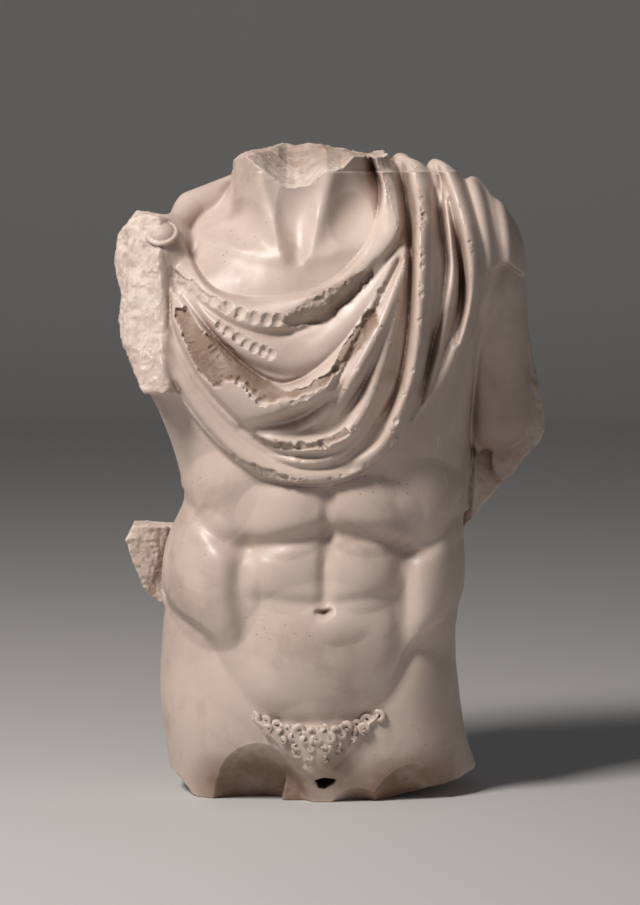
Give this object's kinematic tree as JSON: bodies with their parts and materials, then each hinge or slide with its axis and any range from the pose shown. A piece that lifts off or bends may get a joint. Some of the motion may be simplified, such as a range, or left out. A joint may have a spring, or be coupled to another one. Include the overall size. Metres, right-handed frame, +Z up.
{
  "type": "marble torso sculpture",
  "caption": "Life-size male torso in marble, wearing a cloak draped from a pin on one shoulder; head, arms and legs broken off, standing on its thighs.",
  "frame": {"origin": "middle of the underside, in the plane that the broken thighs stand on", "axes": "+Z up, -Y towards the front of the chest, +X towards the figure's own left arm"},
  "size_m": [0.4988, 0.2986, 0.7512],
  "materials": {
    "marble": "aged warm marble, worn smooth and softly polished, rough and sugary at the breaks, brown patina in the hollows"
  },
  "bodies": {
    "root": {"torso": "marble"}
  },
  "joints": []
}
